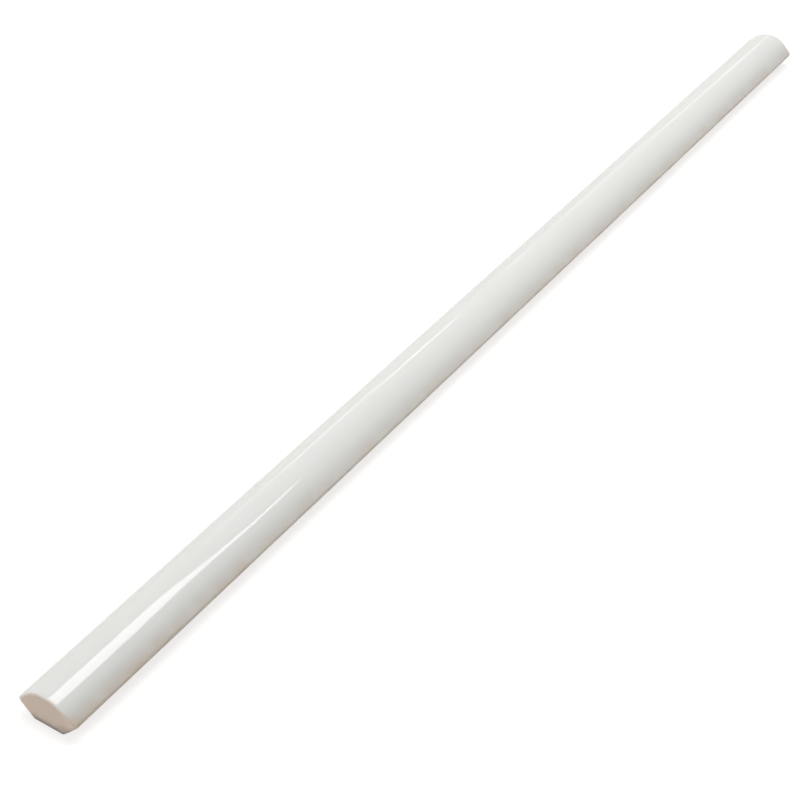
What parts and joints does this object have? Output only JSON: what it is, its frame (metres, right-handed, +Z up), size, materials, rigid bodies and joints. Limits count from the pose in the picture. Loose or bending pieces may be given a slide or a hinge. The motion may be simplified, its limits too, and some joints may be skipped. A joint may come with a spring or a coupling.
{
  "type": "glazed ceramic bullnose tile trim",
  "caption": "Slim glazed ceramic edge trim with a broad rolled nose between narrow side flats, square bare back faces and a flat across the back corner, on which it lies.",
  "frame": {"origin": "the middle of the flat across the back corner, on which the strip lies", "axes": "+X along the strip, +Y across it, +Z up through the middle of the nose"},
  "size_m": [0.3, 0.0132, 0.0078],
  "materials": {
    "bullnose_tile": "glossy warm-white glaze over the nose and side flats; bare matte pinkish-beige body on the ends, the back faces and the flat underneath"
  },
  "bodies": {
    "root": {"bullnose_tile": "bullnose_tile"}
  },
  "joints": []
}
